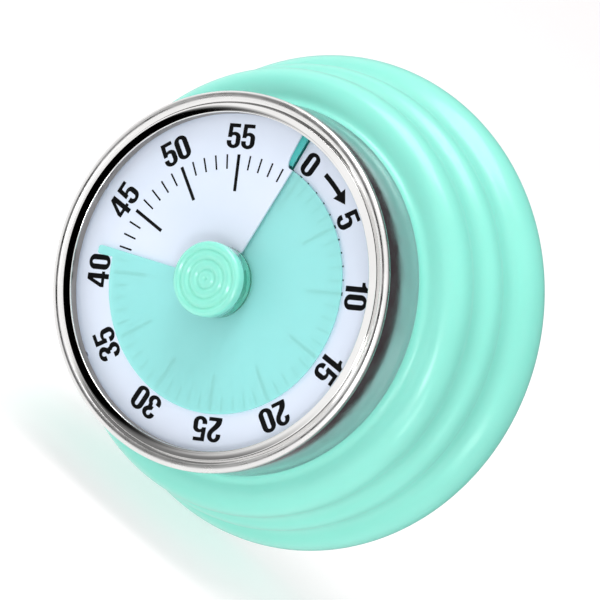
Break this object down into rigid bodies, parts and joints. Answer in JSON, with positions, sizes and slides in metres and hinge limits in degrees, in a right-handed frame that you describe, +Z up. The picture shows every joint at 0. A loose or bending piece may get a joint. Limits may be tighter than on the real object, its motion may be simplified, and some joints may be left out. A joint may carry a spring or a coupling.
{
  "type": "kitchen timer",
  "caption": "Wind-up kitchen timer: ribbed mint body with a magnetic back, steel bezel, white dial, and a film disc that shows the time left round a small knob.",
  "frame": {"origin": "centre of the back face, where the rubber ring and magnets meet a steel surface", "axes": "+Y into the surface it sticks to, so the dial faces -Y; +Z up through the 0 mark; +X to the right seen from the front"},
  "size_m": [0.0882, 0.0456, 0.0882],
  "materials": {
    "mint_plastic": "satin moulded mint plastic",
    "knob_plastic": "glossy mint plastic",
    "teal_plastic": "matt teal plastic",
    "mint_film": "thin translucent mint film",
    "clear_plastic": "clear acrylic",
    "dial_white": "matt white printed sheet",
    "dark_rubber": "matt rubber",
    "magnet_metal": "ferrite magnet",
    "polished_steel": "polished stainless steel",
    "zinc_steel": "plated steel",
    "spring_steel": "blued spring steel",
    "bell_steel": "plated bell steel",
    "movement_brass": "stamped brass"
  },
  "bodies": {
    "case": {"body_shell": "mint_plastic", "back_cover": "mint_plastic", "grip_ring": "dark_rubber", "magnets": "magnet_metal", "cover_screws": "zinc_steel", "steel_band": "polished_steel", "bezel_ring": "polished_steel", "dial_carrier": "teal_plastic", "dial_plate": "dial_white", "dial_rivets": "zinc_steel", "front_plate": "movement_brass", "rear_plate": "movement_brass", "plate_pillars": "zinc_steel", "pillar_nuts": "zinc_steel", "movement_screws": "zinc_steel", "spring_post": "zinc_steel", "mainspring": "spring_steel", "bell": "bell_steel", "bell_post": "zinc_steel", "bell_screw": "zinc_steel", "hammer_spring": "spring_steel"},
    "knob": {"knob_cap": "knob_plastic", "knob_barrel": "clear_plastic", "main_arbor": "zinc_steel", "great_wheel": "movement_brass", "clutch_spring": "spring_steel", "release_cam": "movement_brass"},
    "film": {"film_hub": "knob_plastic", "time_film": "mint_film"},
    "second_train": {"second_arbor": "zinc_steel", "second_wheel": "movement_brass"},
    "third_train": {"third_arbor": "zinc_steel", "third_wheel": "movement_brass"},
    "escape_train": {"escape_arbor": "zinc_steel", "escape_wheel": "movement_brass"},
    "pallet": {"pallet_arbor": "zinc_steel", "pallet_lever": "movement_brass", "pallet_pins": "zinc_steel"},
    "hammer": {"hammer_arbor": "zinc_steel", "hammer_lever": "zinc_steel", "hammer_head": "movement_brass", "release_tail": "zinc_steel"}
  },
  "joints": [
    {"name": "knob_turn", "type": "hinge", "parent": "case", "child": "knob", "pos_m": [0, -0.02, 0], "axis": [0, 1, 0], "range_deg": [-250.2, 109.8]},
    {"name": "film_rise", "type": "slide", "parent": "knob", "child": "film", "axis": [0, -1, 0], "range_m": [-0.00102, 0.00045]},
    {"name": "second_turn", "type": "hinge", "parent": "case", "child": "second_train", "pos_m": [-0.01631, -0.02, -0.00761], "axis": [0, 1, 0], "range_deg": [-549.5, 1251.5]},
    {"name": "third_turn", "type": "hinge", "parent": "case", "child": "third_train", "pos_m": [-0.00828, -0.02, -0.01652], "axis": [0, 1, 0], "range_deg": [-5004.5, 2196.5]},
    {"name": "escape_turn", "type": "hinge", "parent": "case", "child": "escape_train", "pos_m": [0.0036, -0.02, -0.01819], "axis": [0, 1, 0], "range_deg": [-8784.5, 20016.5]},
    {"name": "pallet_rock", "type": "hinge", "parent": "case", "child": "pallet", "pos_m": [0.01001, -0.02, -0.01449], "axis": [0, 1, 0], "range_deg": [-4, 4]},
    {"name": "hammer_swing", "type": "hinge", "parent": "case", "child": "hammer", "pos_m": [-0.0125, -0.02, 0.0135], "axis": [0, 1, 0], "range_deg": [-3, 2.5], "stiffness_Nm_per_rad": 0.02}
  ],
  "couplings": [
    {"joint": "film_rise", "follows": "knob_turn", "m_per_rad": 0.00023078},
    {"joint": "second_turn", "follows": "knob_turn", "ratio": -5},
    {"joint": "third_turn", "follows": "knob_turn", "ratio": 20},
    {"joint": "escape_turn", "follows": "knob_turn", "ratio": -80}
  ]
}
